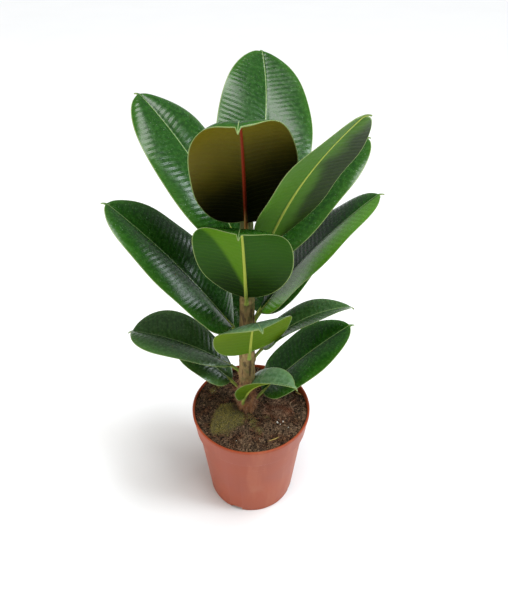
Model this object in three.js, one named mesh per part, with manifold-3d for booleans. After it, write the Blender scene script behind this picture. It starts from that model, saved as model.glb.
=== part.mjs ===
// Potted rubber plant: a plastic nursery pot, its soil, a moss clump, the stem, the closed bud at
// its tip and the leaves. Millimetres, +Z up. The origin is the centre of the pot's underside;
// +X is to the right and -Y is the side towards which the front leaves turn their undersides.
import * as THREE from 'three';
import { mergeVertices } from 'three/addons/utils/BufferGeometryUtils.js';
import Module from 'manifold-3d';

const wasm = await Module();
wasm.setup();

// ---- driving dimensions ----
const GAP = 0.4;                 // clearance left between neighbouring solids

const POT_HEIGHT = 168;
const POT_RIM_RADIUS = 85;
const POT_BASE_RADIUS = 64.5;
const POT_BODY_TOP_RADIUS = 77.6; // of the body where the collar begins
const POT_WALL = 2;
const POT_FLOOR = 3;
const LIP_HEIGHT = 5;
const LIP_DEPTH = 0.7;           // how far the lip stands out from the collar
const COLLAR_HEIGHT = 34;
const COLLAR_STEP = 3.4;         // how far the collar stands out from the body
const POT_SIDES = 48;
const NOTCH_WIDTH = 17;
const NOTCH_HEIGHT = 6;
const NOTCH_DEPTH = 16;
const NOTCH_COUNT = 4;
const FIRST_NOTCH = 250;         // direction of the first drain notch, degrees from +X

const SOIL_LEVEL = 164.5;
const SOIL_SIDES = 30;
const SOIL_CLEARANCE = 0.9;      // between the soil and the pot's wall
const SOIL_DIP = 11;             // how much lower the soil lies at the back right

const MOSS = { x: -34, y: -25, length: 31, width: 23, height: 14, turn: -20 };

const STEM_TOP = 480;
const STEM_FOOT = 112;           // lower end of the stem, inside the soil
const STEM_FOOT_RADIUS = 14.2;
const STEM_TOP_RADIUS = 7.5;
const STEM_SIDES = 12;
const BUD_LENGTH = 46;

const BLADE_THICKNESS = 1.2;
const TIP_LENGTH = 7.2;          // the narrow drip tip at the end of each blade
const BLADE_ROWS = 11;
const HALF_COLUMNS = 3;
const PETIOLE_RADIUS = 2.3;

// ---- leaves ----
// node: height of the leaf's foot on the stem. heading: the blade's compass direction at its foot,
// degrees from +X. from: direction of the foot on the stem, where it differs. turn: how far the
// heading turns by the tip. rise: slope of the petiole. tilt: slope of the blade at its foot, and
// bend: how much the slope changes by the tip, shaped by bow. roll: about the midrib. belly: how
// far along the blade is widest. fold: how steeply each half, [left, right], rises from the
// midrib, and curl: how much more by the margin. hook: how far the drip tip turns down.
const LEAF_SHAPE = {
  turn: 0, roll: 0, bow: 1, belly: 0.48, fold: [18, 18], curl: [-30, -30], hook: 50,
};
const LEAVES = {
  leaf_top_front: {
    node: 463, heading: 268, rise: 80, tilt: 64, bend: -95, bow: 6, roll: -6, belly: 0.43,
    length: 196, width: 104, petiole: 18, fold: [6, 6], curl: [-22, -22], hook: 0,
  },
  leaf_top_back: {
    node: 455, heading: 72, turn: 28, rise: 72, tilt: 48, bend: -20, roll: -14, belly: 0.42,
    length: 214, width: 114, petiole: 30, fold: [10, 10], curl: [-12, -16],
  },
  leaf_upper_left: {
    node: 430, heading: 145, rise: 66, tilt: 62, bend: -30, belly: 0.46,
    length: 205, width: 102, petiole: 14, fold: [20, 24], curl: [-50, -50],
  },
  leaf_upper_right: {
    node: 426, heading: 318, rise: 40, tilt: 69, bend: -22, roll: 9,
    length: 204, width: 88, petiole: 40, fold: [-10, -4], curl: [-4, -4],
  },
  leaf_upper_right_back: {
    node: 394, heading: 33, rise: 60, tilt: 53, bend: -28,
    length: 202, width: 90, petiole: 20,
  },
  leaf_middle_front: {
    node: 365, heading: 266, rise: 80, tilt: 71, bend: -104, bow: 6, roll: 5, belly: 0.54,
    length: 168, width: 110, petiole: 12, fold: [6, 6], curl: [-20, -20], hook: 0,
  },
  leaf_middle_right: {
    node: 326, heading: 18, rise: 60, tilt: 56, bend: -25, roll: 12,
    length: 210, width: 104, petiole: 18, fold: [4, 10], curl: [-8, -8],
  },
  leaf_middle_right_back: {
    node: 314, heading: 52, rise: 56, tilt: 38, bend: -25,
    length: 135, width: 80, petiole: 19, curl: [-25, -25],
  },
  leaf_middle_left: {
    node: 300, heading: 164, rise: 60, tilt: 54, bend: -18, belly: 0.46,
    length: 226, width: 112, petiole: 18, fold: [24, 24], curl: [-35, -35],
  },
  leaf_middle_left_back: {
    node: 270, heading: 118, rise: 50, tilt: 34, bend: -20,
    length: 120, width: 70, petiole: 16, fold: [15, 15], curl: [-25, -25],
  },
  leaf_lower_front: {
    node: 274, heading: 286, rise: 80, tilt: 78, bend: -100, bow: 3, roll: -12,
    length: 110, width: 102, petiole: 12, fold: [-5, 7], curl: [-10, -6], hook: 0,
  },
  leaf_lower_right: {
    node: 262, heading: 18, rise: 50, tilt: 46, bend: -60,
    length: 145, width: 60, petiole: 17, fold: [15, 28], curl: [-30, 0],
  },
  leaf_lower_left: {
    node: 238, heading: 173, rise: 38, tilt: 37, bend: -36, roll: -11, belly: 0.64,
    length: 152, width: 104, petiole: 12, fold: [20, 22], curl: [-25, -14],
  },
  leaf_lowest_left: {
    node: 200, heading: 160, rise: 40, tilt: 42, bend: -32,
    length: 98, width: 62, petiole: 16, fold: [15, 15], curl: [-25, -25],
  },
  leaf_lowest_right: {
    node: 176, heading: 16, rise: 50, tilt: 46, bend: -18,
    length: 165, width: 88, petiole: 17, fold: [15, 15], curl: [-20, -20],
  },
  leaf_lowest_front: {
    node: 184, heading: 345, from: 245, rise: 60, tilt: 76, bend: -100,
    length: 96, width: 58, petiole: 18, fold: [12, 50], curl: [-10, -10],
  },
};

// ---- small helpers ----
const rad = THREE.MathUtils.degToRad;
const vec = (x, y, z) => new THREE.Vector3(x, y, z);

function finish(points, faces) {
  const geometry = new THREE.BufferGeometry();
  const flat = points.flatMap((p) => [p.x, p.y, p.z]);
  geometry.setAttribute('position', new THREE.Float32BufferAttribute(flat, 3));
  geometry.setIndex(faces.flat());
  return geometry;
}

function toSolid(geometry) {
  const bare = geometry.clone();
  bare.deleteAttribute('normal');
  bare.deleteAttribute('uv');
  const merged = mergeVertices(bare, 1e-4);
  const mesh = new wasm.Mesh({
    numProp: 3,
    vertProperties: new Float32Array(merged.attributes.position.array),
    triVerts: new Uint32Array(merged.index.array),
  });
  mesh.merge();
  return new wasm.Manifold(mesh);
}

function toGeometry(solid) {
  const mesh = solid.getMesh();
  const geometry = new THREE.BufferGeometry();
  geometry.setAttribute('position', new THREE.BufferAttribute(mesh.vertProperties, 3));
  geometry.setIndex(new THREE.BufferAttribute(mesh.triVerts, 1));
  return geometry;
}

// A closed solid through rings of equal point count, which run anticlockwise seen from the last
// ring's end. Both ends are capped flat by a fan.
function loft(rings) {
  const count = rings[0].length;
  const points = rings.flat();
  const faces = [];
  for (let i = 0; i < rings.length - 1; i++) {
    for (let j = 0; j < count; j++) {
      const a = i * count + j;
      const b = i * count + (j + 1) % count;
      faces.push([a, b, b + count], [a, b + count, a + count]);
    }
  }
  const last = (rings.length - 1) * count;
  for (let j = 1; j < count - 1; j++) {
    faces.push([0, j + 1, j], [last, last + j, last + j + 1]);
  }
  return finish(points, faces);
}

function flatRing(radiusAt, heightAt, sides, centre = vec(0, 0, 0)) {
  const ring = [];
  for (let j = 0; j < sides; j++) {
    const angle = 2 * Math.PI * j / sides;
    const r = radiusAt(angle);
    const x = centre.x + r * Math.cos(angle);
    const y = centre.y + r * Math.sin(angle);
    ring.push(vec(x, y, heightAt(x, y)));
  }
  return ring;
}

// ---- pot ----
function wallRadius(z) {
  const bodyHeight = POT_HEIGHT - COLLAR_HEIGHT;
  return THREE.MathUtils.lerp(POT_BASE_RADIUS, POT_BODY_TOP_RADIUS, z / bodyHeight);
}

function makePot() {
  const collarFoot = POT_HEIGHT - COLLAR_HEIGHT;
  const lipFoot = POT_HEIGHT - LIP_HEIGHT;
  const collarTop = POT_RIM_RADIUS - LIP_DEPTH;
  const collarBase = wallRadius(collarFoot) + COLLAR_STEP;
  const profile = [
    [0, 0],
    [POT_BASE_RADIUS - 2, 0],
    [POT_BASE_RADIUS, 2],
    [wallRadius(collarFoot), collarFoot - 1.5],
    [collarBase, collarFoot],
    [collarTop, lipFoot],
    [POT_RIM_RADIUS, lipFoot + 0.8],
    [POT_RIM_RADIUS, POT_HEIGHT - 0.8],
    [POT_RIM_RADIUS - 0.8, POT_HEIGHT],
    [collarTop - POT_WALL, POT_HEIGHT],
    [collarBase - POT_WALL, collarFoot + 1],
    [wallRadius(collarFoot) - POT_WALL, collarFoot - 2],
    [POT_BASE_RADIUS - POT_WALL, POT_FLOOR],
    [0, POT_FLOOR],
  ];
  const points = profile.map(([r, z]) => new THREE.Vector2(r, z));
  const cup = new THREE.LatheGeometry(points, POT_SIDES);
  cup.rotateX(Math.PI / 2);
  let solid = toSolid(cup);
  for (let k = 0; k < NOTCH_COUNT; k++) {
    const notch = new THREE.BoxGeometry(NOTCH_DEPTH, NOTCH_WIDTH, 2 * NOTCH_HEIGHT);
    notch.translate(POT_BASE_RADIUS, 0, 0);
    notch.rotateZ(rad(FIRST_NOTCH + k * 360 / NOTCH_COUNT));
    solid = solid.subtract(toSolid(notch));
  }
  return toGeometry(solid);
}

// ---- stem ----
function stemCentre(z) {
  return vec(-5 - Math.sin(z / 90), 1.5 * Math.sin(z / 70), z);
}

function stemRadius(z) {
  return THREE.MathUtils.lerp(STEM_FOOT_RADIUS, STEM_TOP_RADIUS, Math.min(z / STEM_TOP, 1));
}

function stemSolid(extra, foot, top) {
  const rings = [];
  const steps = 12;
  for (let i = 0; i <= steps; i++) {
    const z = THREE.MathUtils.lerp(foot, top, i / steps);
    const radius = stemRadius(z) + extra;
    rings.push(flatRing(() => radius, () => z, STEM_SIDES, stemCentre(z)));
  }
  return loft(rings);
}

function makeBud() {
  const foot = STEM_TOP + GAP;
  const shape = [[0, 4.6], [6, 5.4], [16, 4.8], [30, 3.2], [42, 1.4], [BUD_LENGTH, 0.4]];
  return loft(shape.map(([up, radius]) => {
    const centre = stemCentre(STEM_TOP);
    return flatRing(() => radius, () => foot + up, 10, centre);
  }));
}

// ---- soil and moss ----
function soilHeight(x, y) {
  const dip = SOIL_DIP * Math.exp(-((x - 48) ** 2 + (y - 42) ** 2) / 1500);
  const lumps = 1.6 * Math.sin(x / 9 + 1) * Math.cos(y / 11) + Math.sin((x - y) / 7);
  const mound = 4 * Math.exp(-((x - 30) ** 2 + (y + 22) ** 2) / 300);
  return SOIL_LEVEL - dip + lumps + mound;
}

function makeMoss(extra) {
  const rings = [];
  const turn = rad(MOSS.turn);
  const ripple = (angle) => 1 + 0.09 * Math.sin(3 * angle + 1) + 0.05 * Math.sin(5 * angle);
  const dome = [[0.9, 0], [1, 0.25], [0.93, 0.55], [0.72, 0.82], [0.4, 0.96], [0.1, 1]];
  for (const [part, level] of dome) {
    const ring = [];
    for (let j = 0; j < 18; j++) {
      const angle = 2 * Math.PI * j / 18;
      const reach = part * ripple(angle);
      const wide = (MOSS.width * reach + extra) * Math.cos(angle);
      const long = (MOSS.length * reach + extra) * Math.sin(angle);
      const x = MOSS.x + wide * Math.cos(turn) - long * Math.sin(turn);
      const y = MOSS.y + wide * Math.sin(turn) + long * Math.cos(turn);
      const z = SOIL_LEVEL - 4 + level * MOSS.height + (level > 0 ? extra : -extra);
      ring.push(vec(x, y, z));
    }
    rings.push(ring);
  }
  return loft(rings);
}

// The soil fills the body of the pot and the collar above it, up to its uneven surface.
function makeSoil() {
  const collarFoot = POT_HEIGHT - COLLAR_HEIGHT;
  const floor = POT_FLOOR + GAP;
  const indent = POT_WALL + SOIL_CLEARANCE;
  const bodyTop = wallRadius(collarFoot) - indent;
  const side = wallRadius(collarFoot) + COLLAR_STEP - indent;
  const rings = [
    flatRing(() => 0.5, () => floor, SOIL_SIDES),
    flatRing(() => POT_BASE_RADIUS - indent, () => floor, SOIL_SIDES),
    flatRing(() => bodyTop, () => collarFoot - 2, SOIL_SIDES),
    flatRing(() => side, () => collarFoot + 5, SOIL_SIDES),
  ];
  for (const part of [1, 0.86, 0.7, 0.52, 0.34, 0.16, 0.01]) {
    const drop = part === 1 ? 3 : 0;
    rings.push(flatRing(() => side * part, (x, y) => soilHeight(x, y) - drop, SOIL_SIDES));
  }
  return toGeometry(toSolid(loft(rings))
    .subtract(toSolid(stemSolid(GAP, STEM_FOOT - GAP, SOIL_LEVEL + 30)))
    .subtract(toSolid(makeMoss(GAP))));
}

// ---- leaves ----
// Half width of the blade at t, the distance along it from 0 at the foot to 1 at the drip tip.
function halfWidth(leaf, t) {
  const body = 1 - TIP_LENGTH / leaf.length;
  const q = Math.min(t / body, 1);
  const lean = Math.log(0.5) / Math.log(leaf.belly);
  const oval = Math.max(0, 1 - Math.abs(2 * q ** lean - 1) ** 2.35) ** 0.56;
  const narrow = t > 0.5 ? 0.4 + 3.2 * Math.min(1, (1 - t) / (1 - body + 0.02)) : 1.6;
  return Math.max(leaf.width / 2 * oval, narrow);
}

function direction(heading, slope) {
  const flat = Math.cos(slope);
  return vec(Math.cos(heading) * flat, Math.sin(heading) * flat, Math.sin(slope));
}

// The frame of the blade at t: along the midrib, out of the upper face, and to the left.
function bladeFrame(leaf, t) {
  const body = 1 - TIP_LENGTH / leaf.length;
  const hooked = Math.max(0, (t - body + 0.02) / (1 - body + 0.02));
  const slope = rad(leaf.tilt + leaf.bend * t ** leaf.bow - leaf.hook * hooked);
  const heading = rad(leaf.heading + leaf.turn * t);
  const along = direction(heading, slope);
  const up = direction(heading, slope + Math.PI / 2);
  const left = vec(-Math.sin(heading), Math.cos(heading), 0);
  const roll = rad(leaf.roll);
  return {
    along,
    up: up.clone().multiplyScalar(Math.cos(roll)).addScaledVector(left, Math.sin(roll)),
    left: left.clone().multiplyScalar(Math.cos(roll)).addScaledVector(up, -Math.sin(roll)),
  };
}

function petiolePath(leaf) {
  const from = leaf.from ?? leaf.heading;
  const start = stemCentre(leaf.node)
    .addScaledVector(direction(rad(from), 0), stemRadius(leaf.node) + GAP);
  const path = [start];
  const steps = 6;
  for (let i = 0; i < steps; i++) {
    const s = (i + 0.5) / steps;
    const slope = rad(THREE.MathUtils.lerp(leaf.rise, leaf.tilt, s));
    const heading = rad(THREE.MathUtils.lerp(from, leaf.heading, s));
    const step = direction(heading, slope).multiplyScalar(leaf.petiole / steps);
    path.push(path[i].clone().add(step));
  }
  return path;
}

function midribPath(leaf, start) {
  const steps = 96;
  const path = [start.clone()];
  for (let i = 0; i < steps; i++) {
    const { along } = bladeFrame(leaf, (i + 0.5) / steps);
    path.push(path[i].clone().addScaledVector(along, leaf.length / steps));
  }
  return (t) => {
    const place = Math.min(t * steps, steps - 1e-6);
    const i = Math.floor(place);
    return path[i].clone().lerp(path[i + 1], place - i);
  };
}

function makeBlade(leaf, midrib) {
  const columns = 2 * HALF_COLUMNS + 1;
  const upper = [];
  const lower = [];
  for (let i = 0; i <= BLADE_ROWS; i++) {
    const t = 0.5 - 0.5 * Math.cos(Math.PI * i / BLADE_ROWS);
    const { up, left } = bladeFrame(leaf, t);
    const centre = midrib(t);
    const reach = halfWidth(leaf, t);
    const opening = 0.5 + 0.5 * Math.min(1, 6 * t);
    for (let j = -HALF_COLUMNS; j <= HALF_COLUMNS; j++) {
      const u = Math.abs(j) / HALF_COLUMNS;
      const side = j > 0 ? 1 : -1;
      const half = j > 0 ? 0 : 1;
      const chord = rad(leaf.fold[half] * opening + leaf.curl[half] * u / 2);
      const edge = j === 0 ? 0 : rad(leaf.fold[half] * opening + leaf.curl[half] * u);
      const place = centre.clone()
        .addScaledVector(left, side * u * reach * Math.cos(chord))
        .addScaledVector(up, u * reach * Math.sin(chord));
      const normal = up.clone().multiplyScalar(Math.cos(edge))
        .addScaledVector(left, -side * Math.sin(edge));
      upper.push(place.clone().addScaledVector(normal, BLADE_THICKNESS / 2));
      lower.push(place.clone().addScaledVector(normal, -BLADE_THICKNESS / 2));
    }
  }
  const faces = [];
  const quad = (a, b, c, d) => faces.push([a, b, c], [a, c, d]);
  const under = upper.length;
  for (let i = 0; i < BLADE_ROWS; i++) {
    for (let j = 0; j < columns - 1; j++) {
      const a = i * columns + j;
      const b = a + columns;
      quad(a, b, b + 1, a + 1);
      quad(under + a, under + a + 1, under + b + 1, under + b);
    }
    const right = i * columns;
    const left = right + columns - 1;
    quad(left, left + columns, under + left + columns, under + left);
    quad(right, under + right, under + right + columns, right + columns);
  }
  const tip = BLADE_ROWS * columns;
  for (let j = 0; j < columns - 1; j++) {
    quad(j, j + 1, under + j + 1, under + j);
    quad(under + tip + j, under + tip + j + 1, tip + j + 1, tip + j);
  }
  return finish([...upper, ...lower], faces);
}

function makePetiole(leaf, path, midrib) {
  const reach = 0.16;
  const steps = 3;
  const centres = path.slice();
  for (let i = 1; i <= steps; i++) {
    const t = reach * i / steps;
    const { up } = bladeFrame(leaf, t);
    centres.push(midrib(t).addScaledVector(up, -1.2 * i / steps));
  }
  const rings = centres.map((centre, i) => {
    const before = centres[Math.max(0, i - 1)];
    const after = centres[Math.min(centres.length - 1, i + 1)];
    const along = after.clone().sub(before).normalize();
    const side = vec(0, 0, 1).cross(along).normalize();
    const up = along.clone().cross(side);
    const fade = Math.max(0, i - path.length + 1) / steps;
    const radius = PETIOLE_RADIUS * (1 - 0.45 * fade);
    const ring = [];
    for (let j = 0; j < 7; j++) {
      const angle = 2 * Math.PI * j / 7;
      ring.push(centre.clone()
        .addScaledVector(side, radius * Math.cos(angle))
        .addScaledVector(up, radius * Math.sin(angle)));
    }
    return ring;
  });
  return loft(rings);
}

function makeLeaf(values) {
  const leaf = { ...LEAF_SHAPE, ...values };
  const path = petiolePath(leaf);
  const midrib = midribPath(leaf, path[path.length - 1]);
  const stalk = toSolid(makePetiole(leaf, path, midrib));
  const stemSpace = toSolid(stemSolid(GAP * 0.9, leaf.node - 60, leaf.node + 60));
  return toGeometry(toSolid(makeBlade(leaf, midrib)).add(stalk).subtract(stemSpace));
}

// ---- the scene graph ----
const finishes = {
  pot: { color: 0xc96a42, roughness: 0.45, metalness: 0 },
  soil: { color: 0x3a281c, roughness: 1, metalness: 0 },
  moss: { color: 0x6b7330, roughness: 1, metalness: 0 },
  stem: { color: 0x8a6a48, roughness: 0.85, metalness: 0 },
  bud: { color: 0x8f3b32, roughness: 0.5, metalness: 0 },
  leaf: { color: 0x1f5a34, roughness: 0.3, metalness: 0 },
};

const plant = new THREE.Group();

function addPart(name, geometry, finishName) {
  const mesh = new THREE.Mesh(geometry, new THREE.MeshStandardMaterial(finishes[finishName]));
  mesh.name = name;
  plant.add(mesh);
}

addPart('pot', makePot(), 'pot');
addPart('soil', makeSoil(), 'soil');
addPart('moss_clump', makeMoss(0), 'moss');
addPart('stem', stemSolid(0, STEM_FOOT, STEM_TOP), 'stem');
addPart('terminal_bud', makeBud(), 'bud');
for (const [name, values] of Object.entries(LEAVES)) {
  addPart(name, makeLeaf(values), 'leaf');
}

export default plant;
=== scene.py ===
# A potted rubber plant: plastic nursery pot, peat soil with a clump of moss, bark-covered stem,
# closed bud and sixteen glossy leaves. The plant's own sizes are in millimetres, as in the CAD
# model, and make_piece turns each of its meshes into metres. The studio is in metres.
import math

import bpy
import numpy as np
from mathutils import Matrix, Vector, noise


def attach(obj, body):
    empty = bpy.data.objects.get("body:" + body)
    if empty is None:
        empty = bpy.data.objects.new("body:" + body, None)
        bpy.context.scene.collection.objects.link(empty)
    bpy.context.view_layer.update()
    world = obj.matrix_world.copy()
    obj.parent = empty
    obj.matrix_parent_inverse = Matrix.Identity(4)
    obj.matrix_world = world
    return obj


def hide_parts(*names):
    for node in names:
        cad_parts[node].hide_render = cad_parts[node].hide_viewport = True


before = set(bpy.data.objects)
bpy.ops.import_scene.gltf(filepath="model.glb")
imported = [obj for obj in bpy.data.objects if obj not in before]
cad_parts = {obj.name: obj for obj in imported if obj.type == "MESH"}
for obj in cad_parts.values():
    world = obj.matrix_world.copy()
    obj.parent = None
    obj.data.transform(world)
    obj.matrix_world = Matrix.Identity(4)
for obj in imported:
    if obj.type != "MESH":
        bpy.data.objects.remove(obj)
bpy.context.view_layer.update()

MM = 0.001

# ---- driving dimensions: the CAD model's, save where a line says otherwise ----
POT_HEIGHT = 168
POT_RIM_RADIUS = 85
POT_BASE_RADIUS = 64.5
POT_BODY_TOP_RADIUS = 77.6
POT_WALL = 2
POT_FLOOR = 3
LIP_HEIGHT = 5
LIP_DEPTH = 0.7
COLLAR_HEIGHT = 34
COLLAR_STEP = 3.4
NOTCH_WIDTH = 17
NOTCH_HEIGHT = 6
NOTCH_DEPTH = 16
NOTCH_COUNT = 4
FIRST_NOTCH = 250
POT_SIDES = 240          # finer than the CAD model's

SOIL_LEVEL = 164.5
SOIL_DIP = 11
SOIL_RADIUS = 81.6       # of the surface seen inside the rim

MOSS = dict(x=-34, y=-25, length=31, width=23, height=14, turn=-20)

STEM_TOP = 480
STEM_FOOT_RADIUS = 14.2
STEM_TOP_RADIUS = 7.5
BUD_LENGTH = 46

TIP_LENGTH = 7.2
PETIOLE_RADIUS = 2.3
BLADE_THICKNESS = 1.1    # 0.1 less than the CAD model's
BLADE_ROWS = 150         # finer than the CAD model's, like the columns
HALF_COLUMNS = 24
VEIN_SPACING = 6.5       # of the side veins, along the midrib

# node: height of the leaf's foot on the stem. heading: compass direction of the blade, degrees
# from +X. foot: direction of the foot on the stem, where it differs. turn: change of heading by
# the tip. rise: slope of the petiole. tilt: slope of the blade at its foot. bend: change of slope
# by the tip, shaped by bow. roll: about the midrib. belly: how far along the blade is widest.
# fold and curl: slope of each half, [left, right], at the midrib and its change by the margin.
# hook: how far the drip tip turns down.
LEAF_SHAPE = dict(
    turn=0, roll=0, bow=1, belly=0.48, fold=(18, 18), curl=(-30, -30), hook=50)
LEAVES = {
    "leaf_top_front": dict(
        node=463, heading=268, rise=80, tilt=64, bend=-95, bow=6, roll=-6, belly=0.43,
        length=196, width=104, petiole=18, fold=(6, 6), curl=(-22, -22), hook=0),
    "leaf_top_back": dict(
        node=455, heading=72, turn=28, rise=72, tilt=48, bend=-20, roll=-14, belly=0.42,
        length=214, width=114, petiole=30, fold=(10, 10), curl=(-12, -16)),
    "leaf_upper_left": dict(
        node=430, heading=145, rise=66, tilt=62, bend=-30, belly=0.46,
        length=205, width=102, petiole=14, fold=(20, 24), curl=(-50, -50)),
    "leaf_upper_right": dict(
        node=426, heading=318, rise=40, tilt=69, bend=-22, roll=9,
        length=204, width=88, petiole=40, fold=(-10, -4), curl=(-4, -4)),
    "leaf_upper_right_back": dict(
        node=394, heading=33, rise=60, tilt=53, bend=-28,
        length=202, width=90, petiole=20),
    "leaf_middle_front": dict(
        node=365, heading=266, rise=80, tilt=71, bend=-104, bow=6, roll=5, belly=0.54,
        length=168, width=110, petiole=12, fold=(6, 6), curl=(-20, -20), hook=0),
    "leaf_middle_right": dict(
        node=326, heading=18, rise=60, tilt=56, bend=-25, roll=12,
        length=210, width=104, petiole=18, fold=(4, 10), curl=(-8, -8)),
    "leaf_middle_right_back": dict(
        node=314, heading=52, rise=56, tilt=38, bend=-25,
        length=135, width=80, petiole=19, curl=(-25, -25)),
    "leaf_middle_left": dict(
        node=300, heading=164, rise=60, tilt=54, bend=-18, belly=0.46,
        length=226, width=112, petiole=18, fold=(24, 24), curl=(-35, -35)),
    "leaf_middle_left_back": dict(
        node=270, heading=118, rise=50, tilt=34, bend=-20,
        length=120, width=70, petiole=16, fold=(15, 15), curl=(-25, -25)),
    "leaf_lower_front": dict(
        node=274, heading=286, rise=80, tilt=78, bend=-100, bow=3, roll=-12,
        length=110, width=102, petiole=12, fold=(-5, 7), curl=(-10, -6), hook=0),
    "leaf_lower_right": dict(
        node=262, heading=18, rise=50, tilt=46, bend=-60,
        length=145, width=60, petiole=17, fold=(15, 28), curl=(-30, 0)),
    "leaf_lower_left": dict(
        node=238, heading=173, rise=38, tilt=37, bend=-36, roll=-11, belly=0.64,
        length=152, width=104, petiole=12, fold=(20, 22), curl=(-25, -14)),
    "leaf_lowest_left": dict(
        node=200, heading=160, rise=40, tilt=42, bend=-32,
        length=98, width=62, petiole=16, fold=(15, 15), curl=(-25, -25)),
    "leaf_lowest_right": dict(
        node=176, heading=16, rise=50, tilt=46, bend=-18,
        length=165, width=88, petiole=17, fold=(15, 15), curl=(-20, -20)),
    "leaf_lowest_front": dict(
        node=184, heading=345, foot=245, rise=60, tilt=76, bend=-100,
        length=96, width=58, petiole=18, fold=(12, 50), curl=(-10, -10)),
}


# ---- numbers ----
def smooth(value, low, high):
    """0 below low, 1 above high and a soft step between them; low may be the larger one."""
    part = np.clip((value - low) / (high - low), 0, 1)
    return part * part * (3 - 2 * part)


def hill(distance, width):
    return np.exp(-(distance / width) ** 2)


def rough(points, size, octaves=4):
    """Fractal noise, about -1 to 1, at each point of an array."""
    return np.array([noise.fractal(Vector(p) / size, 0.9, 2.1, octaves) for p in points])


def unit(vectors):
    return vectors / np.linalg.norm(vectors, axis=-1, keepdims=True)


# ---- meshes ----
def make_piece(name, points, faces, material, replaces=(), values=None, flat=False):
    """One mesh piece that stands with the plant. points are in millimetres, and values are
    numbers at each point that its material reads."""
    mesh = bpy.data.meshes.new(name)
    mesh.from_pydata((np.asarray(points, float) * MM).tolist(), [], faces)
    for key, numbers in (values or {}).items():
        attribute = mesh.attributes.new(key, "FLOAT", "POINT")
        attribute.data.foreach_set("value", np.asarray(numbers, np.float32).ravel())
    if not flat:
        mesh.shade_smooth()
    mesh.materials.append(material)
    piece = bpy.data.objects.new(name, mesh)
    bpy.context.scene.collection.objects.link(piece)
    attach(piece, "root")
    if replaces:
        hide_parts(*replaces)
    return piece


def ring_faces(rings, count, start=0, inward=False, caps=True):
    """Faces of a tube of rings, each of count points, closed at both ends."""
    i, j = np.meshgrid(np.arange(rings - 1), np.arange(count), indexing="ij")
    a = start + i * count + j
    b = start + i * count + (j + 1) % count
    quads = np.stack([a, b, b + count, a + count], axis=-1).reshape(-1, 4)
    last = start + (rings - 1) * count
    ends = [list(range(start + count - 1, start - 1, -1)), list(range(last, last + count))]
    if inward:
        quads = quads[:, ::-1]
        ends = [end[::-1] for end in ends]
    return quads.tolist() + (ends if caps else [])


def tube_points(centres, radii, sides):
    """Rings of points round a path of centres."""
    along = unit(np.gradient(centres, axis=0))
    side = unit(np.cross([0.0, 0.02, 1.0], along))
    up = np.cross(along, side)
    angle = 2 * np.pi * np.arange(sides) / sides
    radii = np.broadcast_to(np.asarray(radii, float), (len(centres),))[:, None, None]
    ring = np.cos(angle)[None, :, None] * side[:, None] + np.sin(angle)[None, :, None] * up[:, None]
    return (centres[:, None] + radii * ring).reshape(-1, 3)


def smooth_path(points, count):
    """count points on a Catmull-Rom curve through the given ones."""
    points = np.asarray(points, float)
    padded = np.vstack([2 * points[0] - points[1], points, 2 * points[-1] - points[-2]])
    place = np.linspace(0, len(points) - 1, count)
    i = np.minimum(place.astype(int), len(points) - 2)
    s = (place - i)[:, None]
    a, b, c, d = (padded[i + k] for k in range(4))
    return 0.5 * (2 * b + (c - a) * s + (2 * a - 5 * b + 4 * c - d) * s ** 2
                  + (3 * b - a - 3 * c + d) * s ** 3)


def strands(roots, directions, bends, radii, points=5, sides=3):
    """Many thin tapering hairs as one mesh: its points, faces and each point's strand number."""
    s = np.linspace(0, 1, points)[None, :, None]
    path = roots[:, None] + directions[:, None] * s + bends[:, None] * s ** 2
    along = unit(directions)
    side = unit(np.cross(along, unit(bends + [0.013, 0.017, 0.019])))
    up = np.cross(along, side)
    angle = 2 * np.pi * np.arange(sides) / sides
    taper = (1 - 0.75 * s ** 2)[..., None] * radii[:, None, None, None]
    ring = (np.cos(angle)[None, None, :, None] * side[:, None, None]
            + np.sin(angle)[None, None, :, None] * up[:, None, None])
    made = (path[:, :, None] + taper * ring).reshape(-1, 3)
    block = np.array(ring_faces(points, sides, caps=False))
    starts = np.arange(len(roots))[:, None, None] * points * sides
    quads = (block[None] + starts).reshape(-1, 4).tolist()
    tips = starts[:, 0, 0] + (points - 1) * sides
    ends = [[t + k for k in range(sides)] for t in tips]
    feet = [[f + k for k in reversed(range(sides))] for f in starts[:, 0, 0]]
    return made, quads + ends + feet, np.repeat(np.arange(len(roots)), points * sides)


def crumbs(centres, radii, rng):
    """Many small uneven grains as one mesh: its points, faces and each point's grain number."""
    gold = (1 + 5 ** 0.5) / 2
    corners = []
    for a in (-1, 1):
        for b in (-gold, gold):
            corners += [(0, a, b), (a, b, 0), (b, 0, a)]
    corners = unit(np.array(corners, float))
    gaps = np.linalg.norm(corners[:, None] - corners[None], axis=-1)
    near = gaps < 1.1
    faces = []
    for a in range(12):
        for b in range(a + 1, 12):
            for c in range(b + 1, 12):
                if near[a, b] and near[b, c] and near[a, c]:
                    turn = np.dot(np.cross(corners[b] - corners[a], corners[c] - corners[a]),
                                  corners[a])
                    faces.append((a, b, c) if turn > 0 else (a, c, b))
    uneven = 1 + 0.28 * rng.standard_normal((len(centres), 12, 1))
    squash = 0.65 + 0.6 * rng.random((len(centres), 1, 3))
    made = centres[:, None] + radii[:, None, None] * corners[None] * uneven.clip(0.4, 1.6) * squash
    all_faces = np.array(faces)[None] + 12 * np.arange(len(centres))[:, None, None]
    return made.reshape(-1, 3), all_faces.reshape(-1, 3).tolist(), np.repeat(
        np.arange(len(centres)), 12)


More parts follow.
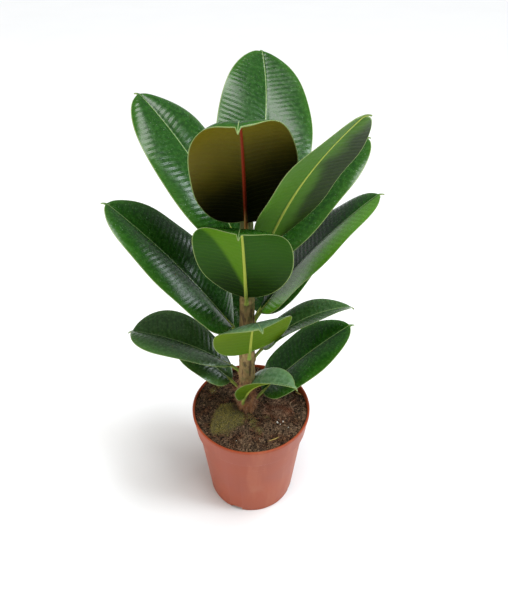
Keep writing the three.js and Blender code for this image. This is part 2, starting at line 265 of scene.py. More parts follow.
# ---- materials ----
class Graph:
    """A material's nodes, written one short call at a time."""

    def __init__(self, name):
        self.material = bpy.data.materials.new(name)
        self.material.use_nodes = True
        self.tree = self.material.node_tree
        self.shader = self.tree.nodes["Principled BSDF"]

    def node(self, kind, **settings):
        made = self.tree.nodes.new("ShaderNode" + kind)
        for key, value in settings.items():
            setattr(made, key, value)
        return made

    def put(self, socket, value):
        if isinstance(value, bpy.types.NodeSocket):
            self.tree.links.new(value, socket)
        elif hasattr(value, "__len__") and len(value) == 3 and socket.type == "RGBA":
            socket.default_value = (*value, 1)
        else:
            socket.default_value = value

    def set(self, **values):
        """Shader inputs by name, with spaces written as underscores."""
        for key, value in values.items():
            self.put(self.shader.inputs[key.replace("_", " ")], value)

    def attribute(self, name):
        return self.node("Attribute", attribute_name=name).outputs["Fac"]

    def place(self):
        return self.node("TexCoord").outputs["Object"]

    def pair(self, x, y):
        made = self.node("CombineXYZ")
        self.put(made.inputs[0], x)
        self.put(made.inputs[1], y)
        return made.outputs[0]

    def math(self, operation, a, b=0.0):
        made = self.node("Math", operation=operation)
        self.put(made.inputs[0], a)
        self.put(made.inputs[1], b)
        return made.outputs[0]

    def step(self, value, low, high, start=0.0, end=1.0):
        made = self.node("MapRange", interpolation_type="SMOOTHSTEP")
        if low > high:
            low, high, start, end = high, low, end, start
        for key, number in zip(("From Min", "From Max", "To Min", "To Max"),
                               (low, high, start, end)):
            made.inputs[key].default_value = number
        self.put(made.inputs["Value"], value)
        return made.outputs[0]

    def noise(self, place, scale, detail=4.0, stretch=None):
        if stretch:
            moved = self.node("Mapping")
            moved.inputs["Scale"].default_value = stretch
            self.put(moved.inputs["Vector"], place)
            place = moved.outputs[0]
        made = self.node("TexNoise")
        made.inputs["Scale"].default_value = scale
        made.inputs["Detail"].default_value = detail
        self.put(made.inputs["Vector"], place)
        return made.outputs["Fac"]

    def cells(self, place, scale):
        made = self.node("TexVoronoi")
        made.inputs["Scale"].default_value = scale
        self.put(made.inputs["Vector"], place)
        return made.outputs

    def mix(self, amount, first, second, blend="MIX"):
        made = self.node("Mix", data_type="RGBA", blend_type=blend)
        self.put(made.inputs[0], amount)
        self.put(made.inputs[6], first)
        self.put(made.inputs[7], second)
        return made.outputs[2]

    def bump(self, height, depth, strength=1.0):
        """Raises the surface where height is 1, by depth in millimetres."""
        made = self.node("Bump")
        made.inputs["Distance"].default_value = depth * MM
        made.inputs["Strength"].default_value = strength
        self.put(made.inputs["Height"], height)
        self.put(self.shader.inputs["Normal"], made.outputs[0])


def pot_material():
    g = Graph("pot_plastic")
    place = g.place()
    cloud = g.noise(place, 9, 3)
    streak = g.noise(place, 5, 5, stretch=(9, 9, 1.2))
    grain = g.noise(place, 900, 2)
    scratch = g.step(g.noise(place, 60, 6, stretch=(1, 1, 9)), 0.62, 0.70)
    dust = g.step(g.noise(place, 24, 6), 0.55, 0.75)
    colour = g.mix(g.step(cloud, 0.35, 0.65), (0.33, 0.052, 0.012), (0.39, 0.070, 0.018))
    colour = g.mix(g.math("MULTIPLY", g.step(streak, 0.5, 0.72), 0.35), colour, (0.48, 0.13, 0.050))
    colour = g.mix(g.math("MULTIPLY", dust, 0.16), colour, (0.50, 0.22, 0.13))
    colour = g.mix(g.math("MULTIPLY", scratch, 0.14), colour, (0.56, 0.26, 0.17))
    g.set(Base_Color=colour, Roughness=g.step(cloud, 0.3, 0.7, 0.40, 0.50))
    g.set(IOR=1.49, Specular_IOR_Level=0.35, Subsurface_Weight=0.06, Subsurface_Scale=0.004)
    relief = g.math("ADD", g.math("MULTIPLY", grain, 0.25), g.math("MULTIPLY", streak, 1.0))
    g.bump(relief, 0.12, 0.6)
    return g.material


def soil_material(name, dark, light, rust):
    """Peat: each grain or fibre has its own shade, and the hollows of the soil surface are darker,
    which is painted shade.
    """
    g = Graph(name)
    place = g.place()
    shade = g.attribute("shade")
    fine = g.noise(place, 700, 5)
    patch = g.noise(place, 60, 4)
    colour = g.mix(g.step(g.math("ADD", shade, g.math("MULTIPLY", fine, 0.5)), 0.35, 1.15),
                   dark, light)
    colour = g.mix(g.math("MULTIPLY", g.step(patch, 0.42, 0.62), 0.65), colour, rust, "OVERLAY")
    g.set(Base_Color=colour, Roughness=0.95, IOR=1.35)
    g.bump(fine, 0.5, 0.9)
    return g.material


def moss_material():
    g = Graph("moss_green")
    place = g.place()
    shade = g.attribute("shade")
    patch = g.noise(place, 90, 4)
    amount = g.math("ADD", g.math("MULTIPLY", shade, 0.7), g.math("MULTIPLY", patch, 0.45))
    colour = g.mix(g.step(amount, 0.2, 0.95), (0.055, 0.050, 0.008), (0.62, 0.50, 0.10))
    colour = g.mix(g.step(g.noise(place, 45, 3), 0.52, 0.68), colour, (0.16, 0.10, 0.035))
    g.set(Base_Color=colour, Roughness=0.85, Sheen_Weight=0.25)
    g.bump(g.noise(place, 1500, 3), 0.3, 0.6)
    return g.material


def bark_material():
    """Old wood: rust-brown and shaggy by the soil, tan with green-grey patches above."""
    g = Graph("bark")
    place = g.place()
    height = g.attribute("height")
    fine = g.noise(place, 420, 6, stretch=(1, 1, 0.35))
    patch = g.noise(place, 110, 4)
    crack = g.noise(place, 240, 5, stretch=(1, 1, 0.22))
    low = g.mix(fine, (0.13, 0.045, 0.016), (0.50, 0.23, 0.085))
    high = g.mix(fine, (0.16, 0.095, 0.030), (0.50, 0.34, 0.14))
    high = g.mix(g.math("MULTIPLY", g.step(patch, 0.5, 0.65), 0.55), high, (0.17, 0.17, 0.055))
    wander = g.math("ADD", height, g.math("MULTIPLY", g.math("SUBTRACT", patch, 0.5), 60))
    colour = g.mix(g.step(wander, 190, 245), low, high)
    colour = g.mix(g.step(wander, 330, 440), colour, (0.10, 0.115, 0.030))
    colour = g.mix(g.math("MULTIPLY", g.step(crack, 0.50, 0.36), 0.7), colour, (0.045, 0.02, 0.01))
    g.set(Base_Color=colour, Roughness=g.step(fine, 0.3, 0.7, 0.9, 0.7))
    g.bump(g.math("ADD", fine, g.math("MULTIPLY", crack, 1.4)), 0.9, 0.9)
    return g.material


def bud_material():
    g = Graph("bud_sheath")
    place = g.place()
    height = g.attribute("height")
    vein = g.noise(place, 300, 3, stretch=(1, 1, 0.1))
    colour = g.mix(g.step(height, 0, 1), (0.20, 0.15, 0.04), (0.36, 0.035, 0.03))
    colour = g.mix(g.math("MULTIPLY", g.step(vein, 0.5, 0.7), 0.5), colour, (0.45, 0.12, 0.06))
    g.set(Base_Color=colour, Roughness=g.step(vein, 0.3, 0.7, 0.3, 0.42))
    g.bump(vein, 0.25, 0.6)
    return g.material


def leaf_material(name, top=None, under=None, rib=None, stalk=None, painted_shade_span=(0, 150, 1, 0), painted_light_wedge=0,
                  painted_sun=0):
    """A leathery leaf. top and under are [deep, light, vein] greens, rib is the midrib's colour
    [above, below] and stalk is the petiole's. The underside goes from under[0] to under[1] between
    painted_shade_span[0] and painted_shade_span[1] of painted_shade_span[2] times the place along
    the blade plus painted_shade_span[3] times the place across it; this is painted shade, darker
    towards the foot or over one half of the underside. painted_light_wedge is the slope of a pale
    area that widens from the foot on the right of the midrib, painted light shining through the
    leaf. painted_sun is how much paler the upper face's right half is, painted sunlight."""
    top = top or [(0.008, 0.046, 0.004), (0.020, 0.090, 0.007), (0.050, 0.165, 0.012)]
    under = under or [(0.005, 0.020, 0.001), (0.022, 0.085, 0.002), (0.100, 0.235, 0.005)]
    rib = rib or [(0.26, 0.38, 0.14), (0.40, 0.46, 0.07)]
    stalk = stalk or (0.28, 0.36, 0.07)
    rim_colour = (0.24, 0.33, 0.11)
    g = Graph(name)
    place = g.place()
    side = g.step(g.attribute("side"), 0.35, 0.65)
    across = g.math("ABSOLUTE", g.attribute("across"))
    along = g.attribute("along")
    rim = g.attribute("rim")
    width = g.attribute("rib_width")
    sheet = g.pair(along, g.attribute("across"))
    cloud = g.noise(place, 28, 3)
    mottle = g.noise(sheet, 0.20, 5)
    fine = g.noise(sheet, 1.6, 3)
    wander = g.math("MULTIPLY", g.math("SUBTRACT", g.noise(sheet, 0.05, 2), 0.5), 5)
    phase = g.math("ADD", g.attribute("vein"), wander)
    wave = g.math("ADD", g.math("MULTIPLY", g.math("COSINE", phase), 0.5), 0.5)
    minor = g.math("COSINE", g.math("MULTIPLY", phase, 3.0))
    vein_line = g.step(wave, 0.90, 1.0)

    above = g.mix(g.step(mottle, 0.3, 0.7), top[0], top[1])
    above = g.mix(g.math("MULTIPLY", vein_line, 0.12), above, top[2])
    above = g.mix(g.math("MULTIPLY", g.step(rim, 14, 0), 0.45), above, top[2])
    above = g.mix(g.math("MULTIPLY", g.step(cloud, 0.4, 0.7), 0.3), above, top[1])
    # painted sunlight: the right half of the upper face is made paler
    if painted_sun:
        painted_sun_half = g.step(g.attribute("across"), 1, -5)
        above = g.mix(g.math("MULTIPLY", painted_sun_half, painted_sun), above, (0.10, 0.30, 0.012))
    # painted shade: the underside's colour runs from under[0] to under[1] along and across the blade
    painted_shade_place = g.math("ADD", g.math("MULTIPLY", along, painted_shade_span[2]),
                    g.math("MULTIPLY", g.attribute("across"), painted_shade_span[3]))
    painted_shade_place = g.math("ADD", painted_shade_place, g.math("MULTIPLY", g.math("SUBTRACT", cloud, 0.5), 40))
    below = g.mix(g.step(painted_shade_place, painted_shade_span[0], painted_shade_span[1]), under[0], under[1])
    # painted light: a pale wedge of light shining through the leaf from its foot
    if painted_light_wedge:
        reach = g.math("ADD", g.attribute("across"), g.math("MULTIPLY", along, painted_light_wedge))
        painted_glow = g.math("MULTIPLY", g.step(reach, 2, 9), g.step(g.attribute("across"), 1, -3))
        below = g.mix(g.math("MULTIPLY", painted_glow, 0.75), below, under[2])
    below = g.mix(g.math("MULTIPLY", vein_line, 0.12), below, under[2])
    below = g.mix(g.math("MULTIPLY", g.step(fine, 0.45, 0.7), 0.18), below, under[2])

    dot = g.cells(sheet, 0.42)
    lucky = g.step(g.math("FRACT", g.math("MULTIPLY", dot["Color"], 7.31)), 0.74, 0.78)
    spot = g.math("MULTIPLY", g.step(dot["Distance"], 0.26, 0.12), lucky)
    small = g.cells(sheet, 1.1)
    rare = g.step(g.math("FRACT", g.math("MULTIPLY", small["Color"], 5.17)), 0.80, 0.84)
    spot = g.math("MAXIMUM", spot, g.math("MULTIPLY", g.step(small["Distance"], 0.3, 0.15), rare))
    spot = g.math("MULTIPLY", spot, g.step(g.noise(sheet, 0.035, 3), 0.42, 0.60))
    spot = g.math("MULTIPLY", g.math("MULTIPLY", spot, 0.55), side)
    above = g.mix(spot, above, (0.30, 0.42, 0.27))

    line = g.math("DIVIDE", across, width)
    above = g.mix(g.step(line, 0.62, 0.30), above, rib[0])
    below = g.mix(g.step(line, 1.45, 0.85), below, rib[1])
    colour = g.mix(side, below, above)
    colour = g.mix(g.step(rim, 0.80, 0.30), colour, rim_colour)
    colour = g.mix(g.attribute("stalk"), colour, stalk)
    g.set(Base_Color=colour)

    film = g.math("MULTIPLY", g.step(mottle, 0.35, 0.75), 0.10)
    gloss = g.math("ADD", g.math("ADD", g.math("MULTIPLY", side, -0.22), 0.44), film)
    g.set(Roughness=g.math("ADD", gloss, g.math("MULTIPLY", spot, 0.35)), IOR=1.47)
    g.set(Specular_IOR_Level=g.math("ADD", g.math("MULTIPLY", side, 0.20), 0.12))
    g.set(Subsurface_Weight=0.05, Subsurface_Scale=0.002)
    ripple = g.math("ADD", g.math("MULTIPLY", wave, 0.9), g.math("MULTIPLY", minor, 0.12))
    ripple = g.math("MULTIPLY", ripple, g.step(rim, 0.5, 6))
    relief = g.math("ADD", ripple, g.math("MULTIPLY", fine, 0.16))
    relief = g.math("ADD", relief, g.math("MULTIPLY", spot, 0.25))
    g.bump(relief, 0.16, 0.8)
    return g.material


def floor_material():
    g = Graph("pale_floor")
    cloud = g.noise(g.place(), 3, 3)
    g.set(Base_Color=g.mix(cloud, (0.86, 0.86, 0.86), (0.90, 0.90, 0.90)))
    g.set(Roughness=0.9, Specular_IOR_Level=0.1)
    return g.material


# ---- pot ----
def wall_radius(z):
    widening = POT_BODY_TOP_RADIUS - POT_BASE_RADIUS
    return POT_BASE_RADIUS + widening * z / (POT_HEIGHT - COLLAR_HEIGHT)


def rounded(corners, steps=5):
    """An outline of [r, z, rounding] corners with each corner turned into a small arc."""
    made = []
    for k, (r, z, size) in enumerate(corners):
        here = np.array([r, z], float)
        if size == 0:
            made.append(here)
            continue
        before = np.array(corners[k - 1][:2], float) - here
        after = np.array(corners[(k + 1) % len(corners)][:2], float) - here
        reach = min(size, 0.45 * np.linalg.norm(before), 0.45 * np.linalg.norm(after))
        start = here + before / np.linalg.norm(before) * reach
        end = here + after / np.linalg.norm(after) * reach
        for s in np.linspace(0, 1, steps):
            made.append((1 - s) ** 2 * start + 2 * s * (1 - s) * here + s * s * end)
    return np.array(made)


def make_pot():
    axis = 0.4               # radius of the small caps that close the floor on the axis
    collar_foot = POT_HEIGHT - COLLAR_HEIGHT
    lip_foot = POT_HEIGHT - LIP_HEIGHT
    collar_top = POT_RIM_RADIUS - LIP_DEPTH
    collar_base = wall_radius(collar_foot) + COLLAR_STEP
    wall_top = wall_radius(collar_foot)
    profile = rounded([
        (axis, 0, 0),
        (POT_BASE_RADIUS, 0, 2.5),
        (wall_top, collar_foot - 1.2, 1.5),
        (collar_base, collar_foot, 1.2),
        (collar_top, lip_foot, 0.8),
        (POT_RIM_RADIUS, lip_foot + 0.5, 1.0),
        (POT_RIM_RADIUS, POT_HEIGHT, 1.6),
        (collar_top - POT_WALL, POT_HEIGHT, 1.0),
        (collar_base - POT_WALL, collar_foot + 1, 1.5),
        (wall_top - POT_WALL, collar_foot - 2, 1.5),
        (POT_BASE_RADIUS - POT_WALL, POT_FLOOR, 2.5),
        (axis, POT_FLOOR, 0),
    ])
    angle = 2 * np.pi * np.arange(POT_SIDES) / POT_SIDES
    points = np.stack([
        profile[:, :1] * np.cos(angle), profile[:, :1] * np.sin(angle),
        np.repeat(profile[:, 1:], POT_SIDES, axis=1)], axis=-1).reshape(-1, 3)
    faces = ring_faces(len(profile), POT_SIDES)
    pot = make_piece("nursery_pot", points, faces, pot_material(), ["pot"])
    cutters = []
    for k in range(NOTCH_COUNT):
        turn = math.radians(FIRST_NOTCH + k * 360 / NOTCH_COUNT)
        bpy.ops.mesh.primitive_cube_add(
            size=1, rotation=(0, 0, turn),
            location=(POT_BASE_RADIUS * math.cos(turn) * MM, POT_BASE_RADIUS * math.sin(turn) * MM, 0))
        cutter = bpy.context.object
        cutter.scale = (NOTCH_DEPTH * MM, NOTCH_WIDTH * MM, 2 * NOTCH_HEIGHT * MM)
        cut = pot.modifiers.new("notch", "BOOLEAN")
        cut.object = cutter
        cutters.append(cutter)
    bpy.context.view_layer.update()
    shape = bpy.data.meshes.new_from_object(pot.evaluated_get(bpy.context.evaluated_depsgraph_get()))
    pot.modifiers.clear()
    pot.data = shape
    for cutter in cutters:
        bpy.data.objects.remove(cutter)
    shape.shade_smooth()
    shape.set_sharp_from_angle(angle=math.radians(50))


# ---- soil ----
def soil_height(x, y):
    dip = SOIL_DIP * np.exp(-((x - 48) ** 2 + (y - 42) ** 2) / 1500)
    lumps = 1.6 * np.sin(x / 9 + 1) * np.cos(y / 11) + np.sin((x - y) / 7)
    mound = 4 * np.exp(-((x - 30) ** 2 + (y + 22) ** 2) / 300)
    return SOIL_LEVEL - dip + lumps + mound


def spread(rng, count, centre=(0, 0), radius=SOIL_RADIUS - 2):
    """Random places on the soil, as x and y, inside a circle that stays in the pot."""
    r = radius * np.sqrt(rng.random(count))
    angle = 2 * np.pi * rng.random(count)
    x = centre[0] + r * np.cos(angle)
    y = centre[1] + r * np.sin(angle)
    inside = np.hypot(x, y) < SOIL_RADIUS - 1.5
    return x[inside], y[inside]


def make_soil_surface(material):
    """The rough top of the soil, closed below by a skirt and a flat underside."""
    rings, sides, skirt, underside = 92, 420, 4, 22
    radii = np.concatenate([np.linspace(0.3, SOIL_RADIUS, rings), [SOIL_RADIUS - 1, 60]])
    angle = 2 * np.pi * np.arange(sides) / sides
    x = (radii[:, None] * np.cos(angle)).ravel()
    y = (radii[:, None] * np.sin(angle)).ravel()
    flat = np.stack([x, y, np.zeros_like(x)], axis=1)
    coarse = rough(flat, 9, 3)
    grit = rough(flat, 2.2, 3)
    z = soil_height(x, y) + 1.6 * coarse + 1.1 * grit
    z[-sides:] = SOIL_LEVEL - underside
    z[-2 * sides:-sides] -= skirt
    # painted shade: shade follows the same noise that lifts the surface, so the hollows take the
    # darker peat colour
    shade = 0.35 + 0.35 * grit + 0.15 * coarse
    points = np.stack([x, y, z], axis=1)
    faces = ring_faces(len(radii), sides, inward=True)
    make_piece("soil_surface", points, faces, material, ["soil"], {"shade": shade})


def make_soil_crumbs(material):
    rng = np.random.default_rng(11)
    count = 4200
    x, y = spread(rng, count)
    radius = 0.35 + 1.25 * rng.random(len(x)) ** 3
    z = soil_height(x, y) + 0.6 + 1.2 * rng.random(len(x))
    points, faces, owner = crumbs(np.stack([x, y, z], axis=1), radius, rng)
    shade = rng.random(len(x))[owner]
    make_piece("soil_crumbs", points, faces, material, (), {"shade": shade}, flat=True)


def make_fibres(name, material, count, seed, centre, radius, length, thick, lift):
    """Loose peat and coir fibres lying every way on the soil."""
    rng = np.random.default_rng(seed)
    x, y = spread(rng, count, centre, radius)
    many = len(x)
    roots = np.stack([x, y, soil_height(x, y) + lift * rng.random(many)], axis=1)
    heading = 2 * np.pi * rng.random(many)
    slope = rng.normal(0.12, 0.22, many)
    reach = length * (0.35 + rng.random(many))
    directions = np.stack([
        np.cos(heading) * np.cos(slope), np.sin(heading) * np.cos(slope), np.sin(slope)], axis=1)
    bends = rng.normal(0, 0.30, (many, 3)) * reach[:, None]
    bends[:, 2] = -np.abs(bends[:, 2]) * 0.6
    ends = roots + directions * reach[:, None] + bends
    inside = np.hypot(ends[:, 0], ends[:, 1]) < SOIL_RADIUS - 0.5
    reach = reach[inside, None]
    points, faces, owner = strands(
        roots[inside], directions[inside] * reach, bends[inside],
        thick * (0.5 + rng.random(len(reach))))
    shade = rng.random(len(reach))[owner]
    make_piece(name, points, faces, material, (), {"shade": shade})


def make_flakes():
    """A few white flakes of perlite, most of them in front of the stem on the right."""
    g = Graph("pale_grit")
    tint = g.noise(g.place(), 300, 3)
    g.set(Base_Color=g.mix(tint, (0.55, 0.52, 0.42), (0.82, 0.80, 0.72)), Roughness=0.8)
    g.bump(tint, 0.3, 0.6)
    rng = np.random.default_rng(5)
    x = np.array([37, 41, 45, 39, -55, -58, 12, 52, -20, 60])
    y = np.array([-34, -36, -30, -29, 30, 26, -60, -40, -62, -12])
    z = soil_height(x, y) + 2.6
    radius = np.array([1.5, 1.0, 1.3, 0.7, 0.8, 0.6, 0.6, 0.7, 0.6, 0.7])
    points, faces, _ = crumbs(np.stack([x, y, z], axis=1), radius, rng)
    make_piece("perlite_flakes", points, faces, g.material, flat=True)


def make_twigs():
    g = Graph("dry_twig")
    tint = g.noise(g.place(), 400, 3)
    g.set(Base_Color=g.mix(tint, (0.42, 0.27, 0.05), (0.66, 0.50, 0.16)), Roughness=0.7)
    g.bump(tint, 0.2, 0.6)
    rings, sides = 18, 8
    for name, places, thick in (
        ("yellow_twig", [(23, -63, 1.5), (28, -61.5, 2.6), (34, -59.5, 2.8), (39, -56, 2.0)], 0.55),
        ("pale_stick", [(67, 31, 7), (70, 27, 7.5), (74, 22, 6)], 0.8),
    ):
        path = [(x, y, soil_height(x, y) + up) for x, y, up in places]
        centres = smooth_path(path, rings)
        radii = thick * (1 - 0.4 * np.linspace(-1, 1, rings) ** 2)
        points = tube_points(centres, radii, sides)
        make_piece(name, points, ring_faces(rings, sides), g.material)


# ---- moss ----
def moss_point(reach, angle):
    """A place on the clump's dome; reach is 0 at its middle and 1 at its edge."""
    edge = 1 + 0.09 * np.sin(3 * angle + 1) + 0.05 * np.sin(5 * angle)
    level = (1 - reach ** 2.6) ** 0.75
    wide = MOSS["width"] * reach * edge * np.cos(angle)
    long = MOSS["length"] * reach * edge * np.sin(angle)
    turn = math.radians(MOSS["turn"])
    x = MOSS["x"] + wide * math.cos(turn) - long * math.sin(turn)
    y = MOSS["y"] + wide * math.sin(turn) + long * math.cos(turn)
    z = SOIL_LEVEL - 4 + level * MOSS["height"]
    return np.stack([x, y, z], axis=-1)


def make_moss(material):
    rings, sides = 30, 90
    reach, angle = np.meshgrid(
        np.linspace(1, 0.01, rings), 2 * np.pi * np.arange(sides) / sides, indexing="ij")
    points = moss_point(reach.ravel(), angle.ravel())
    lump = rough(points, 7, 3)
    points[:, 2] += 1.2 * lump * (1 - reach.ravel() ** 4)
    # painted shade: the shade value follows the lumps, so the low parts of the mound are darker
    make_piece("moss_mound", points, ring_faces(rings, sides), material, ["moss_clump"],
               {"shade": 0.15 + 0.2 * lump})
    rng = np.random.default_rng(3)
    count = 9000
    reach = np.sqrt(rng.random(count)) * 1.05
    angle = 2 * np.pi * rng.random(count)
    roots = moss_point(np.minimum(reach, 1), angle)
    roots[:, 2] += 1.2 * rough(roots, 7, 3) - 0.4
    outward = unit(roots - [MOSS["x"], MOSS["y"], SOIL_LEVEL - 16])
    directions = unit(outward + rng.normal(0, 0.55, (count, 3)))
    reach = 1.3 + 2.2 * rng.random(count)
    bends = rng.normal(0, 0.45, (count, 3)) * reach[:, None]
    points, faces, owner = strands(
        roots, directions * reach[:, None], bends, 0.14 + 0.14 * rng.random(count), points=4)
    shade = (rng.random(count) ** 1.3)[owner]
    make_piece("moss_strands", points, faces, material, (), {"shade": shade})


def make_moss_tufts(material):
    """Small tufts of moss in front of the stem and by the back left wall."""
    rng = np.random.default_rng(8)
    places = [(4, -30, 7, 420), (10, -44, 6, 320), (-2, -20, 6, 260), (-58, 31, 6, 240),
              (-48, 40, 5, 160), (24, -22, 5, 120)]
    roots, lengths = [], []
    for x, y, size, count in places:
        spot = rng.normal(0, size * 0.45, (count, 2)) + (x, y)
        roots.append(np.column_stack([spot, soil_height(spot[:, 0], spot[:, 1]) + 0.4]))
        lengths.append(1.2 + 2.0 * rng.random(count))
    roots = np.concatenate(roots)
    lengths = np.concatenate(lengths)[:, None]
    directions = unit(rng.normal(0, 0.6, roots.shape) + [0, 0, 0.9]) * lengths
    bends = rng.normal(0, 0.45, roots.shape) * lengths
    points, faces, owner = strands(roots, directions, bends, np.full(len(roots), 0.2), points=4)
    shade = rng.random(len(roots))[owner]
    make_piece("moss_tufts", points, faces, material, (), {"shade": shade})


# ---- stem ----
def stem_centre(z):
    z = np.asarray(z, float)
    return np.stack([-5 - np.sin(z / 90), 1.5 * np.sin(z / 70), z], axis=-1)


def stem_radius(z):
    thinning = STEM_FOOT_RADIUS - STEM_TOP_RADIUS
    return STEM_FOOT_RADIUS - thinning * np.minimum(z, STEM_TOP) / STEM_TOP


def make_stem():
    foot, sides = SOIL_LEVEL - 14, 96
    heights = np.arange(foot, STEM_TOP + 0.1, 1.1)
    angle = 2 * np.pi * np.arange(sides) / sides
    z = np.repeat(heights, sides)
    turn = np.tile(angle, len(heights))
    radius = stem_radius(z)
    place = np.stack([10 * np.cos(turn), 10 * np.sin(turn), z], axis=1)
    shaggy = smooth(z, 250, 190)
    radius += (0.35 + 1.1 * shaggy) * rough(place * [1, 1, 0.45], 5, 4)
    radius += 0.25 * rough(place, 1.6, 2)
    radius += 4.0 * np.exp(-(z - SOIL_LEVEL) / 8).clip(0, 1.5) * (1 + 0.4 * np.sin(5 * turn + 1))
    for leaf in LEAVES.values():
        facing = math.radians(leaf.get("foot", leaf["heading"]))
        gap = z - leaf["node"]
        radius += 0.45 * hill(gap + 3, 1.6)
        near = np.cos(turn - facing).clip(0, 1) ** 6
        radius += 1.5 * near * hill(gap + 2.5, 4)
    radius = radius.clip(4, 16)
    centres = stem_centre(z)
    points = centres + np.stack(
        [radius * np.cos(turn), radius * np.sin(turn), np.zeros_like(z)], axis=1)
    make_piece("stem_bark", points, ring_faces(len(heights), sides), bark_material(),
               ["stem"], {"height": z})


def make_stem_fibres(material):
    """Shaggy bark threads and rootlets round the foot of the stem."""
    rng = np.random.default_rng(21)
    count = 900
    z = SOIL_LEVEL + 2 + 62 * rng.random(count) ** 1.6
    turn = 2 * np.pi * rng.random(count)
    outward = np.stack([np.cos(turn), np.sin(turn), np.zeros(count)], axis=1)
    roots = stem_centre(z) + outward * (stem_radius(z) + 0.2)[:, None]
    reach = (3 + 7 * rng.random(count))[:, None]
    directions = unit(outward * 0.16 + rng.normal(0, 0.35, (count, 3)) + [0, 0, -0.6]) * reach
    bends = (outward * 0.25 + rng.normal(0, 0.2, (count, 3))) * reach
    points, faces, owner = strands(roots, directions, bends, 0.18 + 0.22 * rng.random(count))
    shade = (0.4 + 0.6 * rng.random(count))[owner]
    make_piece("stem_fibres", points, faces, material, (), {"shade": shade})


def make_bud():
    """The closed sheath over the next leaf, with its twisted overlap."""
    rings, sides = 70, 40
    share = np.linspace(0, 1, rings)
    outline_up = np.array([0, 6, 16, 30, 42, BUD_LENGTH]) / BUD_LENGTH
    outline_radius = [4.6, 5.4, 4.8, 3.2, 1.4, 0.4]
    angle = 2 * np.pi * np.arange(sides) / sides
    part, turn = np.meshgrid(share, angle, indexing="ij")
    radius = np.interp(part, outline_up, outline_radius)
    overlap = np.mod(turn - 2.2 * part, 2 * np.pi) / (2 * np.pi)
    radius = radius * (0.96 + 0.09 * overlap)
    centre = stem_centre(STEM_TOP)
    lean = 1.5 * part ** 2
    points = np.stack([
        centre[0] + radius * np.cos(turn) + lean, centre[1] + radius * np.sin(turn),
        STEM_TOP - 1 + (BUD_LENGTH + 1) * part], axis=-1).reshape(-1, 3)
    make_piece("bud_sheath", points, ring_faces(rings, sides), bud_material(),
               ["terminal_bud"], {"height": part.ravel()})


# ---- leaves ----
def half_width(leaf, t):
    """Half width of the blade at t, from 0 at its foot to 1 at the drip tip."""
    body = 1 - TIP_LENGTH / leaf["length"]
    q = np.minimum(t / body, 1)
    lean = math.log(0.5) / math.log(leaf["belly"])
    oval = np.maximum(0, 1 - np.abs(2 * q ** lean - 1) ** 2.35) ** 0.56
    tip = 0.4 + 3.2 * np.minimum(1, (1 - t) / (1 - body + 0.02))
    return np.maximum(leaf["width"] / 2 * oval, np.where(t > 0.5, tip, 1.6))


def direction(heading, slope):
    return np.stack([
        np.cos(heading) * np.cos(slope), np.sin(heading) * np.cos(slope),
        np.sin(slope) * np.ones_like(heading)], axis=-1)


def blade_frame(leaf, t):
    """Unit vectors along the midrib, out of the upper face and to the left, at each t."""
    t = np.asarray(t, float)
    body = 1 - TIP_LENGTH / leaf["length"]
    hooked = np.maximum(0, (t - body + 0.02) / (1 - body + 0.02))
    slope = np.radians(leaf["tilt"] + leaf["bend"] * t ** leaf["bow"] - leaf["hook"] * hooked)
    heading = np.radians(leaf["heading"] + leaf["turn"] * t)
    along = direction(heading, slope)
    up = direction(heading, slope + np.pi / 2)
    left = np.stack([-np.sin(heading), np.cos(heading), np.zeros_like(heading)], axis=-1)
    roll = math.radians(leaf["roll"])
    return along, up * np.cos(roll) + left * np.sin(roll), left * np.cos(roll) - up * np.sin(roll)


def petiole_path(leaf):
    foot = leaf.get("foot", leaf["heading"])
    outward = direction(math.radians(foot), 0.0)
    path = [stem_centre(leaf["node"]) + outward * (stem_radius(leaf["node"]) + 0.4)]
    steps = 6
    for i in range(steps):
        s = (i + 0.5) / steps
        slope = math.radians(leaf["rise"] + (leaf["tilt"] - leaf["rise"]) * s)
        heading = math.radians(foot + (leaf["heading"] - foot) * s)
        path.append(path[-1] + direction(heading, slope) * leaf["petiole"] / steps)
    return np.array(path)


def midrib_path(leaf, start, t):
    steps = 96
    along, _, _ = blade_frame(leaf, (np.arange(steps) + 0.5) / steps)
    path = np.vstack([start, start + np.cumsum(along, axis=0) * leaf["length"] / steps])
    return np.stack([np.interp(t * steps, np.arange(steps + 1), path[:, k]) for k in range(3)],
                    axis=-1)


